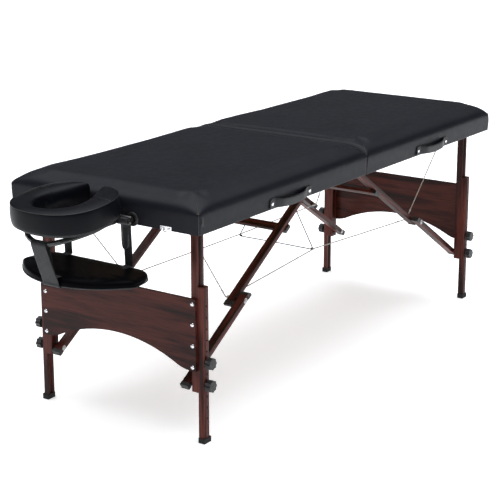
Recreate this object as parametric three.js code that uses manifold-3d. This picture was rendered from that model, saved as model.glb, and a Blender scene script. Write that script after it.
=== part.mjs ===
// Portable massage table, open and standing, with a face cradle and an arm shelf at the head end.
// Millimetres, +Z up. -X is the head end, -Y is the side with the carrying handles.
// Everything is laid out around the middle of the folding joint (x = 0), then the whole group is
// moved so that the origin is on the floor under the middle of the bounding box.
import * as THREE from 'three';
import { mergeVertices } from 'three/addons/utils/BufferGeometryUtils.js';
import Module from 'manifold-3d';

const wasm = await Module();
wasm.setup();

// ---------------------------------------------------------------- driving dimensions
const GAP = 0.3;                 // clearance between pieces that touch
const LENGTH = 1854;             // table top, head end to foot end
const WIDTH = 711;               // table top, across
const TOP = 762;                 // top of the cushions above the floor
const PANEL_BOTTOM = 658;        // bottom edge of the frame rails
const RAIL_HEIGHT = 58;
const SIDE_RAIL = 10;            // thickness of the long rails
const END_RAIL = 12;             // thickness of the cross rails
const COVER = 1.5;               // vinyl outside the rails
const DECK = 6;
const HALF_GAP = 0.75;           // half the slit between the two halves
const LEG_X = 846;               // centre plane of a leg frame
const PIVOT_Z = 686;             // leg pivot and upper strut pivot
const LEG_WIDTH = 31;            // both leg pieces, along X
const UPPER_LEG_Y = [276, 299.3];
const UPPER_LEG_END = 157.5;     // lower end of the upper leg
const LOWER_LEG_Y = [299.6, 319.6];
const LOWER_LEG_TOP = 482;
const TONGUE = 5.6;              // half width and height of the rib that guides the lower leg
const HOLE_PITCH = 34.7;
const KNOB_HOLE = 251;           // height of the upper knob
const KNOB_RADIUS = 19;
const BRACE_Z = 182;             // lower strut pivot on the leg
const STRUT_TOP_X = 58;          // upper strut pivot under the top
const UPPER_STRUT_Y = [206, 233];
const LOWER_STRUT_Y = [239, 266];
const STRUT_DEPTH = 17;
const KNEE_LAP = 33;             // how far each strut runs past the knee
const CROSSBAR_AT = 285;         // along the upper strut from its pivot
const BOARD_THICKNESS = 10;
const CRADLE_PIVOT = [-962, 674];
const CRADLE_TILT = -5;          // degrees, front edge low
const ROD_Y = 119;
const KNEE_CORD_Y = 199;

const HALF = LENGTH / 2;
const FRAME_HALF_WIDTH = WIDTH / 2 - COVER;
const RAIL_TOP = PANEL_BOTTOM + RAIL_HEIGHT;
const DECK_TOP = RAIL_TOP + GAP + DECK;
const HINGE_Z = PANEL_BOTTOM - 5;

// The strut lengths that let the braces fold flat: both pivots end on the pivot height, in line.
const braceRun = LEG_X - STRUT_TOP_X;
const braceDrop = PIVOT_Z - BRACE_Z;
const braceLength = Math.hypot(braceRun, braceDrop);
const BRACE_ANGLE = Math.atan2(braceDrop, braceRun);
const UPPER_STRUT = (braceLength + braceRun - braceDrop) / 2;
const LOWER_STRUT = braceLength - UPPER_STRUT;
const KNEE = [
  STRUT_TOP_X + UPPER_STRUT * Math.cos(BRACE_ANGLE),
  PIVOT_Z - UPPER_STRUT * Math.sin(BRACE_ANGLE),
];

// ---------------------------------------------------------------- materials
function material(colour, roughness, metalness = 0) {
  return new THREE.MeshStandardMaterial({ color: colour, roughness, metalness });
}
const VINYL = material(0x34353a, 0.45);
const STRAP = material(0x141518, 0.7);
const WALNUT = material(0x3f2420, 0.4);
const PLYWOOD = material(0x8a6a48, 0.6);
const BLACK_PLASTIC = material(0x151515, 0.45);
const RUBBER = material(0x1a1a1a, 0.8);
const STEEL = material(0xa8a8aa, 0.3, 1);
const CHROME = material(0xd0d0d4, 0.12, 1);
const CORD = material(0xcfc9c0, 0.7);
const ELASTIC = material(0x1c1c1c, 0.7);

// ---------------------------------------------------------------- solids
function toSolid(geometry) {
  const bare = geometry.clone();
  bare.deleteAttribute('normal');
  bare.deleteAttribute('uv');
  const merged = mergeVertices(bare, 1e-4);
  const triVerts = new Uint32Array(merged.index.array);
  const vertProperties = new Float32Array(merged.attributes.position.array);
  return new wasm.Manifold(new wasm.Mesh({ numProp: 3, vertProperties, triVerts }));
}

function toGeometry(solid) {
  const mesh = solid.getMesh();
  const geometry = new THREE.BufferGeometry();
  geometry.setAttribute('position', new THREE.BufferAttribute(mesh.vertProperties, 3));
  geometry.setIndex(new THREE.BufferAttribute(mesh.triVerts, 1));
  return geometry;
}

function join(...geometries) {
  return toGeometry(geometries.map(toSolid).reduce((all, one) => all.add(one)));
}

function cut(geometry, ...tools) {
  return toGeometry(tools.map(toSolid).reduce((left, tool) => left.subtract(tool), toSolid(geometry)));
}

function common(a, b) {
  return toGeometry(toSolid(a).intersect(toSolid(b)));
}

function box(x, y, z) {
  const geometry = new THREE.BoxGeometry(x[1] - x[0], y[1] - y[0], z[1] - z[0]);
  return geometry.translate((x[0] + x[1]) / 2, (y[0] + y[1]) / 2, (z[0] + z[1]) / 2);
}

// A rod along one axis, between two coordinates on it.
function rod(axis, radius, from, to, across, segments = 12) {
  const geometry = new THREE.CylinderGeometry(radius, radius, Math.abs(to - from), segments);
  const middle = (from + to) / 2;
  if (axis === 'x') {
    return geometry.rotateZ(Math.PI / 2).translate(middle, across[0], across[1]);
  }
  return geometry.translate(across[0], middle, across[1]);
}

function extrude(shape, depth, curveSegments = 8) {
  return new THREE.ExtrudeGeometry(shape, { depth, bevelEnabled: false, curveSegments });
}

// A shape drawn in X and Z, extruded along Y from y[0] to y[1].
function extrudeAlongY(shape, y, curveSegments = 8) {
  return extrude(shape, y[1] - y[0], curveSegments).rotateX(Math.PI / 2).translate(0, y[1], 0);
}

// A shape drawn in Y and Z, extruded along X from x[0] to x[1].
function extrudeAlongX(shape, x, curveSegments = 8) {
  const upright = extrude(shape, x[1] - x[0], curveSegments);
  return upright.rotateX(Math.PI / 2).rotateZ(Math.PI / 2).translate(x[0], 0, 0);
}

function outline(points) {
  return new THREE.Shape(points.map(([x, y]) => new THREE.Vector2(x, y)));
}

// A tube of straight pieces along a line of points, mitred where it turns.
function tube(line, radius, sides) {
  const points = line.map((p) => new THREE.Vector3(...p));
  const runs = points.slice(1).map((p, i) => p.clone().sub(points[i]).normalize());
  const across = new THREE.Vector3(0, 0, 1).cross(runs[0]).normalize();
  const upward = runs[0].clone().cross(across);
  let offsets = [];
  for (let i = 0; i < sides; i += 1) {
    const angle = (i * 2 * Math.PI) / sides;
    offsets.push(across.clone().multiplyScalar(radius * Math.cos(angle))
      .addScaledVector(upward, radius * Math.sin(angle)));
  }
  const positions = [];
  points.forEach((p, i) => {
    const before = runs[Math.max(0, i - 1)];
    const after = runs[Math.min(runs.length - 1, i)];
    const mitre = before.clone().add(after).normalize();
    const ring = offsets.map((o) => o.clone().addScaledVector(before, -o.dot(mitre) / before.dot(mitre)));
    ring.forEach((o) => positions.push(p.x + o.x, p.y + o.y, p.z + o.z));
    offsets = ring.map((o) => o.clone().addScaledVector(after, -o.dot(after)));
  });
  const faces = [];
  const last = (points.length - 1) * sides;
  for (let i = 0; i < sides; i += 1) {
    const next = (i + 1) % sides;
    for (let base = 0; base < last; base += sides) {
      faces.push(base + i, base + next, base + sides + next);
      faces.push(base + i, base + sides + next, base + sides + i);
    }
    if (i > 0 && i < sides - 1) {
      faces.push(0, i + 1, i, last, last + i, last + i + 1);
    }
  }
  const geometry = new THREE.BufferGeometry();
  geometry.setAttribute('position', new THREE.Float32BufferAttribute(positions, 3));
  geometry.setIndex(faces);
  return geometry;
}

// Points along a smooth curve through the given ones.
function smooth(points, steps) {
  const curve = new THREE.CatmullRomCurve3(points.map((p) => new THREE.Vector3(...p)));
  return curve.getSpacedPoints(steps).map((p) => p.toArray());
}

function flip(geometry) {
  const index = geometry.index.array;
  for (let i = 0; i < index.length; i += 3) {
    [index[i], index[i + 1]] = [index[i + 1], index[i]];
  }
  return geometry;
}

// Mirror a geometry in the plane x = 0 (end < 0) and y = 0 (side < 0), keeping its faces outward.
function mirrored(geometry, end, side) {
  const copy = mergeVertices(geometry.clone().deleteAttribute('normal').deleteAttribute('uv'), 1e-4);
  copy.scale(end, side, 1);
  return end * side < 0 ? flip(copy) : copy;
}

const table = new THREE.Group();

function place(name, geometry, finish, parent = table) {
  const mesh = new THREE.Mesh(geometry, finish);
  mesh.name = name;
  parent.add(mesh);
  return mesh;
}

const ENDS = [['head', -1], ['foot', 1]];
const SIDES = [['front', -1], ['back', 1]];

// ---------------------------------------------------------------- top: frame, deck, cushion
function frameRing() {
  const ring = outline([
    [HALF_GAP, -FRAME_HALF_WIDTH], [HALF, -FRAME_HALF_WIDTH],
    [HALF, FRAME_HALF_WIDTH], [HALF_GAP, FRAME_HALF_WIDTH],
  ]);
  const inside = FRAME_HALF_WIDTH - SIDE_RAIL;
  ring.holes.push(new THREE.Path([
    new THREE.Vector2(HALF_GAP + END_RAIL, -inside),
    new THREE.Vector2(HALF_GAP + END_RAIL, inside),
    new THREE.Vector2(HALF - END_RAIL, inside),
    new THREE.Vector2(HALF - END_RAIL, -inside),
  ]));
  return extrude(ring, RAIL_HEIGHT).translate(0, 0, PANEL_BOTTOM);
}

// Profile from z0 to z1 with elliptical top corners, each with its own width.
function crownedProfile(low, high, z0, z1, roundLow, roundHigh, roundHeight) {
  const profile = new THREE.Shape();
  profile.moveTo(low, z0);
  profile.lineTo(high, z0);
  profile.lineTo(high, z1 - roundHeight);
  profile.absellipse(high - roundHigh, z1 - roundHeight, roundHigh, roundHeight, 0, Math.PI / 2);
  profile.lineTo(low + roundLow, z1);
  profile.absellipse(low + roundLow, z1 - roundHeight, roundLow, roundHeight, Math.PI / 2, Math.PI);
  return profile;
}

function cushion(end) {
  const bottom = DECK_TOP + GAP;
  const roundSide = 70;
  const roundEnd = end < 0 ? 70 : 45;
  const across = extrudeAlongX(
    crownedProfile(-WIDTH / 2, WIDTH / 2, bottom, TOP, roundSide, roundSide, 30), [0, HALF]);
  const along = extrudeAlongY(
    crownedProfile(1.2, HALF, bottom, TOP, 14, roundEnd, 30), [-WIDTH, WIDTH]);
  return common(across, along);
}

// Carrying handle: a strap fixed flat at both ends that bows out and sags a little between them.
function handle() {
  const length = 229;
  const height = 33;
  const thickness = 4;
  const tab = 26;
  const bow = 14;
  const sag = 7;
  const face = -(WIDTH / 2) - GAP;
  const pieces = 14;
  const ring = [];
  for (let i = 0; i <= pieces; i += 1) {
    const x = -length / 2 + (length * i) / pieces;
    const run = Math.max(0, (length / 2 - tab - Math.abs(x)) / (length / 2 - tab));
    const lift = Math.sin((Math.min(1, run * 2.2) * Math.PI) / 2);
    ring.push({ x, y: face - bow * lift, z: 677.5 - sag * Math.sin((run * Math.PI) / 2) });
  }
  const positions = [];
  const corners = [[0, -1], [0, 1], [-thickness, 1], [-thickness, -1]];
  ring.forEach((p) => corners.forEach(([dy, dz]) => {
    positions.push(p.x, p.y + dy, p.z + (dz * height) / 2);
  }));
  const faces = [0, 2, 1, 0, 3, 2];
  for (let i = 0; i < pieces; i += 1) {
    for (let c = 0; c < 4; c += 1) {
      const a = i * 4 + c;
      const b = i * 4 + ((c + 1) % 4);
      faces.push(a, b + 4, a + 4, a, b, b + 4);
    }
  }
  const last = pieces * 4;
  faces.push(last, last + 1, last + 2, last, last + 2, last + 3);
  const geometry = new THREE.BufferGeometry();
  geometry.setAttribute('position', new THREE.Float32BufferAttribute(positions, 3));
  geometry.setIndex(faces);
  return geometry;
}

const HANDLE_X = 460.5;
ENDS.forEach(([name, end]) => {
  let ring = mirrored(frameRing(), end, 1);
  if (end < 0) {
    const sockets = SIDES.map(([, side]) => (
      rod('x', 8.5, -HALF - 5, -HALF + END_RAIL + 5, [side * ROD_Y, CRADLE_PIVOT[1]])));
    ring = cut(ring, ...sockets);
  }
  place(`${name}_frame`, ring, WALNUT);
  const deck = box([HALF_GAP, HALF], [-FRAME_HALF_WIDTH, FRAME_HALF_WIDTH], [RAIL_TOP + GAP, DECK_TOP]);
  place(`${name}_deck`, mirrored(deck, end, 1), PLYWOOD);
  place(`${name}_cushion`, mirrored(cushion(end), end, 1), VINYL);
  place(`${name}_carry_handle`, handle(), STRAP).position.x = end * HANDLE_X;

  const mountWidth = 28;
  const mount = box(
    [STRUT_TOP_X - mountWidth / 2, STRUT_TOP_X + mountWidth / 2],
    [-UPPER_STRUT_Y[0] + 0.6, UPPER_STRUT_Y[0] - 0.6],
    [PIVOT_Z - 10, RAIL_TOP]);
  place(`${name}_strut_mount`, mirrored(mount, end, 1), WALNUT);
  const axleEnd = FRAME_HALF_WIDTH - SIDE_RAIL - GAP;
  place(`${name}_leg_axle`, rod('y', 5, -axleEnd, axleEnd, [end * LEG_X, PIVOT_Z]), STEEL);
});

// ---------------------------------------------------------------- folding hinge across the middle
const PIN_RADIUS = 2.1;
const KNUCKLE_RADIUS = 4.2;
const KNUCKLES = 10;
const HINGE_LENGTH = 640;

function hingeLeaf(end) {
  const pitch = HINGE_LENGTH / KNUCKLES;
  const top = PANEL_BOTTOM - GAP;
  const parts = [box([5, 14], [-HINGE_LENGTH / 2, HINGE_LENGTH / 2], [top - 1.5, top])];
  for (let i = end < 0 ? 0 : 1; i < KNUCKLES; i += 2) {
    const from = -HINGE_LENGTH / 2 + i * pitch + 0.4;
    const to = from + pitch - 0.8;
    parts.push(rod('y', KNUCKLE_RADIUS, from, to, [0, HINGE_Z]));
    parts.push(box([0, 6], [from, to], [top - 1.5, top]));
  }
  const bore = rod('y', PIN_RADIUS + GAP, -HINGE_LENGTH, HINGE_LENGTH, [0, HINGE_Z]);
  return cut(join(...parts), bore);
}

ENDS.forEach(([name, end]) => {
  place(`${name}_hinge_leaf`, mirrored(hingeLeaf(end), end, 1), STEEL);
});
const pinHalf = HINGE_LENGTH / 2;
place('folding_hinge_pin', rod('y', PIN_RADIUS, -pinHalf, pinHalf, [0, HINGE_Z]), STEEL);

// ---------------------------------------------------------------- legs
function upperLeg() {
  const half = LEG_WIDTH / 2;
  const [inner, outer] = UPPER_LEG_Y;
  const section = new THREE.Shape();
  section.moveTo(-half, inner);
  section.lineTo(half, inner);
  section.lineTo(half, outer);
  section.lineTo(TONGUE, outer);
  section.absarc(0, outer, TONGUE, 0, Math.PI);
  section.lineTo(-half, outer);
  const top = PIVOT_Z + half;
  const bar = extrude(section, top - UPPER_LEG_END, 6).translate(LEG_X, 0, UPPER_LEG_END);
  const side = new THREE.Shape();
  side.moveTo(LEG_X - half, UPPER_LEG_END - 1);
  side.lineTo(LEG_X + half, UPPER_LEG_END - 1);
  side.lineTo(LEG_X + half, PIVOT_Z);
  side.absarc(LEG_X, PIVOT_Z, half, 0, Math.PI);
  const rounded = common(bar, extrudeAlongY(side, [inner - 5, outer + 20]));
  return cut(rounded, rod('y', 5.4, inner - 5, outer + 20, [LEG_X, PIVOT_Z]));
}

function lowerLeg() {
  const half = LEG_WIDTH / 2;
  const [inner, outer] = LOWER_LEG_Y;
  const corner = 9;
  const groove = TONGUE + 0.5;
  const section = new THREE.Shape();
  section.moveTo(-half, inner);
  section.lineTo(-groove, inner);
  section.absarc(0, inner, groove, Math.PI, 0, true);
  section.lineTo(half, inner);
  section.lineTo(half, outer - corner);
  section.absarc(half - corner, outer - corner, corner, 0, Math.PI / 2);
  section.absarc(corner - half, outer - corner, corner, Math.PI / 2, Math.PI);
  const bottom = 6;
  const bar = extrude(section, LOWER_LEG_TOP - bottom, 5).translate(LEG_X, 0, bottom);
  const holes = [];
  for (let i = -5; i <= 5; i += 1) {
    const z = KNOB_HOLE + i * HOLE_PITCH;
    holes.push(rod('y', 3.2, inner - 5, outer + 5, [LEG_X, z], 8));
  }
  return cut(bar, ...holes);
}

function footCap() {
  const wall = 1.6;
  const half = LEG_WIDTH / 2;
  const [inner, outer] = LOWER_LEG_Y;
  const block = box([-half - wall, half + wall], [inner - wall, outer + wall], [0, 17]);
  const pocket = box([-half - GAP, half + GAP], [inner - GAP, outer + GAP], [6 - GAP, 30]);
  return cut(block, pocket).translate(LEG_X, 0, 0);
}

function knob() {
  const lobes = 8;
  const depth = 1.6;
  const points = [];
  for (let i = 0; i < lobes * 4; i += 1) {
    const angle = (i * 2 * Math.PI) / (lobes * 4);
    const radius = KNOB_RADIUS - depth + depth * Math.cos(angle * lobes);
    points.push([radius * Math.cos(angle), radius * Math.sin(angle)]);
  }
  const seat = LOWER_LEG_Y[1] + 0.6;
  const grip = extrudeAlongY(outline(points), [seat + 3, seat + 22]);
  const hub = rod('y', 11, seat, seat + 4, [0, 0], 16);
  return join(grip, hub);
}

function endBoard() {
  const halfWidth = 298;
  const top = 446.5;
  const foot = 226;
  const apex = 290.5;
  const archHalf = 250;
  const flare = 28;
  const rise = apex - foot;
  const radius = (archHalf * archHalf + rise * rise) / (2 * rise);
  const centreZ = apex - radius;
  const start = Math.acos((archHalf - flare) / radius);
  const startZ = centreZ + radius * Math.sin(start);
  const board = new THREE.Shape();
  board.moveTo(-halfWidth, top);
  board.lineTo(-halfWidth, foot);
  board.lineTo(-archHalf - flare, foot);
  board.quadraticCurveTo(-archHalf, foot, flare - archHalf, startZ);
  board.absarc(0, centreZ, radius, Math.PI - start, start, true);
  board.quadraticCurveTo(archHalf, foot, archHalf + flare, foot);
  board.lineTo(halfWidth, foot);
  board.lineTo(halfWidth, top);
  const face = LEG_X + LEG_WIDTH / 2 + GAP;
  return extrudeAlongX(board, [face, face + BOARD_THICKNESS], 16);
}

// A strut lies along +X from its pivot at the origin and ends with one corner cut off at the knee.
function strutBar(y, length, back) {
  const half = STRUT_DEPTH / 2;
  const tip = length + KNEE_LAP;
  const chamfer = 9;
  return extrudeAlongY(outline([
    [-back, -half], [tip - chamfer, -half], [tip, chamfer - half], [tip, half], [-back, half],
  ]), y);
}

// Turn a strut from lying along +X to pointing from its pivot at the given angle in the XZ plane.
function aim(geometry, angle, pivot) {
  return geometry.rotateY(-angle).translate(pivot[0], 0, pivot[1]);
}

function upperStrut() {
  const bar = strutBar(UPPER_STRUT_Y, UPPER_STRUT, STRUT_DEPTH / 2);
  return aim(bar, -BRACE_ANGLE, [STRUT_TOP_X, PIVOT_Z]);
}

function lowerStrut() {
  const bar = strutBar(LOWER_STRUT_Y, LOWER_STRUT, 25);
  const legSpacer = rod('y', 9, LOWER_STRUT_Y[1] - 1, UPPER_LEG_Y[0] - 0.5, [0, 0]);
  const kneeSpacer = rod('y', 8, UPPER_STRUT_Y[1] + 0.5, LOWER_STRUT_Y[0] + 1, [LOWER_STRUT, 0]);
  return aim(join(bar, legSpacer, kneeSpacer), Math.PI - BRACE_ANGLE, [LEG_X, BRACE_Z]);
}

function crossbar() {
  const top = -STRUT_DEPTH / 2 - GAP;
  const bar = box([CROSSBAR_AT - 14, CROSSBAR_AT + 14], [-236, 236], [top - 12, top]);
  return aim(bar, -BRACE_ANGLE, [STRUT_TOP_X, PIVOT_Z]);
}

const KNOBS = [['upper', KNOB_HOLE], ['lower', KNOB_HOLE - 2 * HOLE_PITCH]];
ENDS.forEach(([name, end]) => {
  place(`${name}_end_board`, mirrored(endBoard(), end, 1), WALNUT);
  place(`${name}_crossbar`, mirrored(crossbar(), end, 1), WALNUT);
  SIDES.forEach(([sideName, side]) => {
    const tag = `${name}_${sideName}`;
    place(`${tag}_upper_leg`, mirrored(upperLeg(), end, side), WALNUT);
    place(`${tag}_lower_leg`, mirrored(lowerLeg(), end, side), WALNUT);
    place(`${tag}_foot_cap`, mirrored(footCap(), end, side), RUBBER);
    place(`${tag}_upper_strut`, mirrored(upperStrut(), end, side), WALNUT);
    place(`${tag}_lower_strut`, mirrored(lowerStrut(), end, side), WALNUT);
    KNOBS.forEach(([height, z]) => {
      const turned = mirrored(knob(), 1, side);
      place(`${tag}_${height}_knob`, turned, BLACK_PLASTIC).position.set(end * LEG_X, 0, z);
    });
  });
});

// ---------------------------------------------------------------- bracing cords and elastic loop
const CORD_RADIUS = 1.5;
const CENTRE_CORNER = [157, 373];      // y and z where the elastic loop gathers the cord
SIDES.forEach(([sideName, side]) => {
  const y = side * KNEE_CORD_Y;
  const half = [
    [833, side * 225, 664], [765, side * 217, 585], [KNEE[0] + 12, y, KNEE[1] + 5],
    [KNEE[0], y, KNEE[1]], [KNEE[0] - 14, y, KNEE[1] + 1], [280, side * 178, 365],
    [12, side * (CENTRE_CORNER[0] + 2), CENTRE_CORNER[1]],
  ];
  const route = [
    ...half.map(([x, py, z]) => [-x, py, z]),
    [0, side * CENTRE_CORNER[0], CENTRE_CORNER[1]],
    ...half.slice().reverse(),
  ];
  place(`${sideName}_brace_cord`, tube(route, CORD_RADIUS, 6), CORD);
});
const loopInset = CENTRE_CORNER[0] - 4.5;
const loopRoute = [
  [-4, -6, 640], [-4, -loopInset, CENTRE_CORNER[1] + 1], [-2, -loopInset + 6, CENTRE_CORNER[1] - 4],
  [-2, 0, CENTRE_CORNER[1] - 3], [-2, loopInset - 6, CENTRE_CORNER[1] - 4],
  [-4, loopInset, CENTRE_CORNER[1] + 1], [-4, 6, 640],
];
place('elastic_loop', tube(loopRoute, 1.6, 6), ELASTIC);

// ---------------------------------------------------------------- latches on the head end
const LATCH_Y = 240;
SIDES.forEach(([sideName, side]) => {
  const middle = side * LATCH_Y;
  const lever = box([-HALF - 3.2, -HALF - GAP], [middle - 20, middle + 20], [659, 671]);
  place(`${sideName}_latch_lever`, lever, CHROME);
});

// ---------------------------------------------------------------- face cradle and arm shelf
const [PIVOT_X, ROD_Z] = CRADLE_PIVOT;
const ROD_RADIUS = 8;

function bracket() {
  const rods = SIDES.map(([, side]) => (
    rod('x', ROD_RADIUS, PIVOT_X - 4, -HALF + 62, [side * ROD_Y, ROD_Z])));
  const bar = box([PIVOT_X - 9, PIVOT_X + 9], [-132, 132], [ROD_Z - 8, ROD_Z + 8]);
  return join(bar, ...rods);
}

// Horseshoe, open towards the table: a superellipse outside, and inside a half ellipse whose
// straight sides close in towards the throat.
function horseshoe(inset, depth) {
  const outerMiddle = -115;
  const outer = [];
  const outerSteps = 40;
  for (let i = 0; i < outerSteps; i += 1) {
    const angle = (i * 2 * Math.PI) / outerSteps;
    const c = Math.cos(angle);
    const s = Math.sin(angle);
    outer.push([
      outerMiddle + (144 - inset) * Math.sign(c) * Math.abs(c) ** (2 / 2.4),
      (148 - inset) * Math.sign(s) * Math.abs(s) ** (2 / 2.4),
    ]);
  }
  const innerMiddle = -127;
  const sideStart = THREE.MathUtils.degToRad(65);
  const inner = [];
  const innerSteps = 20;
  for (let i = 0; i <= innerSteps; i += 1) {
    const angle = sideStart + (i * 2 * (Math.PI - sideStart)) / innerSteps;
    inner.push([
      innerMiddle + (88 + inset) * Math.cos(angle),
      (73 + inset) * Math.sin(angle),
    ]);
  }
  const throatHalf = 17 + inset;
  inner.push([40, -throatHalf], [40, throatHalf]);
  const opening = extrude(outline(inner), 3 * depth).translate(0, 0, -depth);
  return cut(extrude(outline(outer), depth), opening);
}

const cradle = new THREE.Group();
cradle.position.set(PIVOT_X, 0, ROD_Z);
cradle.rotation.y = THREE.MathUtils.degToRad(CRADLE_TILT);
table.add(cradle);
place('cradle_bracket', bracket(), STEEL);
place('cradle_platform', horseshoe(16, 9.4).translate(0, 0, 15), BLACK_PLASTIC, cradle);
place('face_cushion', horseshoe(0, 68).translate(0, 0, 25), VINYL, cradle);

// The hanger tube loops under the platform from one side of the bracket to the other.
const TUBE_RADIUS = 8;
const HANGER_SIDE = [
  [PIVOT_X - 10.5, 85, 670], [-1010, 88, 671], [-1070, 97, 668], [-1125, 94, 665], [-1170, 68, 655],
  [-1186, 35, 645.5],
];
const HANGER = [
  ...HANGER_SIDE.map(([x, y, z]) => [x, -y, z]),
  [-1190, 0, 641.5],
  ...HANGER_SIDE.slice().reverse(),
];
place('hanger_tube', tube(smooth(HANGER, 34), TUBE_RADIUS, 10), STEEL);

const SHELF_TOP = 535;
const SHELF_DEPTH = 26;
const SHELF_FRONT = -1150;
// Straight at the back, an arc at the front, and soft corners between.
function armShelf() {
  const back = -936;
  const radius = 261;
  const tipY = 200;
  const spread = Math.asin(tipY / radius);
  const centreX = SHELF_FRONT + radius;
  const tipX = centreX - radius * Math.cos(spread);
  const shelf = new THREE.Shape();
  shelf.moveTo(back, -150);
  shelf.lineTo(back, 150);
  shelf.quadraticCurveTo(back, 197, -985, 206);
  shelf.lineTo(-1025, 213);
  shelf.quadraticCurveTo(-1048, 216, tipX, tipY);
  shelf.absarc(centreX, 0, radius, Math.PI - spread, Math.PI + spread);
  shelf.quadraticCurveTo(-1048, -216, -1025, -213);
  shelf.lineTo(-985, -206);
  shelf.quadraticCurveTo(back, -197, back, -150);
  return extrude(shelf, SHELF_DEPTH, 10).translate(0, 0, SHELF_TOP - SHELF_DEPTH);
}
place('arm_shelf', armShelf(), VINYL);

function strap(from, to, y, width) {
  const thickness = 2;
  const section = outline([from, to, [to[0] + thickness, to[1]], [from[0] + thickness, from[1]]]);
  return extrudeAlongY(section, [y - width / 2, y + width / 2]);
}
SIDES.forEach(([sideName, side]) => {
  const top = [PIVOT_X + 4, ROD_Z - 8 - GAP];
  const width = 30;
  place(`${sideName}_shelf_strap`, strap(top, [-962, SHELF_TOP + GAP], side * 116, width), STRAP);
});
const leadTop = [-1191, 641.5 - TUBE_RADIUS - 2 * GAP];
place('lead_shelf_strap', strap(leadTop, [SHELF_FRONT + 8, SHELF_TOP + GAP], 0, 58), STRAP);

// ---------------------------------------------------------------- origin under the middle
table.updateMatrixWorld(true);
const bounds = new THREE.Box3().setFromObject(table, true);
const middle = bounds.getCenter(new THREE.Vector3());
table.position.set(-middle.x, -middle.y, -bounds.min.z);

const whole = new THREE.Group();
whole.add(table);
export default whole;
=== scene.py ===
"""Looks of the portable massage table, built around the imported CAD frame. Metres, row frame.

Lengths written in this file are millimetres in the table's own layout: x = 0 at the folding joint,
y = 0 along the middle, z = 0 on the floor. at() turns them into the row frame in metres.
"""
import math

import bmesh
import bpy
from mathutils import Matrix, Vector, noise
from mathutils.bvhtree import BVHTree


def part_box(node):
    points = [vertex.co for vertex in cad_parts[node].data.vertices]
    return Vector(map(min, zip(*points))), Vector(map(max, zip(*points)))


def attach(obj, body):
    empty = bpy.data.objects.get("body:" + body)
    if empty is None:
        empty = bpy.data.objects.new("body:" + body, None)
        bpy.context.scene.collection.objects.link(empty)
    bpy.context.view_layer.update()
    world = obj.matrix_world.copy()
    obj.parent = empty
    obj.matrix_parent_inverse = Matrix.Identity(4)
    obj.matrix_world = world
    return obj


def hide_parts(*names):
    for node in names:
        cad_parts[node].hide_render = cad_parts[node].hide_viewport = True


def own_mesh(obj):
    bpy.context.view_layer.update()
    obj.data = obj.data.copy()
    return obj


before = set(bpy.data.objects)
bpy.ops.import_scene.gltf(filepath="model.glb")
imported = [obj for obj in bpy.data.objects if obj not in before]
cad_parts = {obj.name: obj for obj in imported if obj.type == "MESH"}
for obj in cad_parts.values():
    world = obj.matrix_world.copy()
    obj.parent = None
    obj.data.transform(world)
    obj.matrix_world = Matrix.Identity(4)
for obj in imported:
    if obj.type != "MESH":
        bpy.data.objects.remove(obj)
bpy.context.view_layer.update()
MM = 0.001
scene = bpy.context.scene

pin_low, pin_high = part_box("folding_hinge_pin")
ORIGIN = Vector(((pin_low.x + pin_high.x) / 2, (pin_low.y + pin_high.y) / 2, 0))


def at(x, y, z):
    return ORIGIN + Vector((x, y, z)) * MM


# ------------------------------------------------------------------ camera
CAMERA_PLACE = (-4022, -2665, 1730)
CAMERA_YAW = 34.62
CAMERA_PITCH = -14.06
camera = bpy.data.objects.new("camera", bpy.data.cameras.new("camera"))
scene.collection.objects.link(camera)
scene.camera = camera
camera.location = at(*CAMERA_PLACE)
yaw, pitch = math.radians(CAMERA_YAW), math.radians(CAMERA_PITCH)
looks = Vector((math.cos(pitch) * math.cos(yaw), math.cos(pitch) * math.sin(yaw), math.sin(pitch)))
camera.rotation_euler = looks.to_track_quat("-Z", "Y").to_euler()
camera.data.lens = 103.2
camera.data.sensor_width = 36
camera.data.shift_y = -0.1
camera.data.clip_end = 60

# ------------------------------------------------------------------ layout, as in the CAD source
HALF = 927
HALF_WIDTH = 355.5
TOP = 762
PANEL_BOTTOM = 658
LEG_X = 846
PIVOT_Z = 686
BRACE_Z = 182
STRUT_TOP_X = 58
UPPER_STRUT_Y = (206, 233)
LOWER_STRUT_Y = (239, 266)
STRUT_DEPTH = 17
KNEE_LAP = 33
CROSSBAR_AT = 285
KNEE_CORD_Y = 199
HANDLE_X = 460.5
ENDS = (("head", -1), ("foot", 1))
SIDES = (("front", -1), ("back", 1))
BRACE_LENGTH = math.hypot(LEG_X - STRUT_TOP_X, PIVOT_Z - BRACE_Z)
BRACE_ANGLE = math.atan2(PIVOT_Z - BRACE_Z, LEG_X - STRUT_TOP_X)
UPPER_STRUT = (BRACE_LENGTH + LEG_X - STRUT_TOP_X - PIVOT_Z + BRACE_Z) / 2
LOWER_STRUT = BRACE_LENGTH - UPPER_STRUT
KNEE_X = STRUT_TOP_X + UPPER_STRUT * math.cos(BRACE_ANGLE)
KNEE_Z = PIVOT_Z - UPPER_STRUT * math.sin(BRACE_ANGLE)


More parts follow.
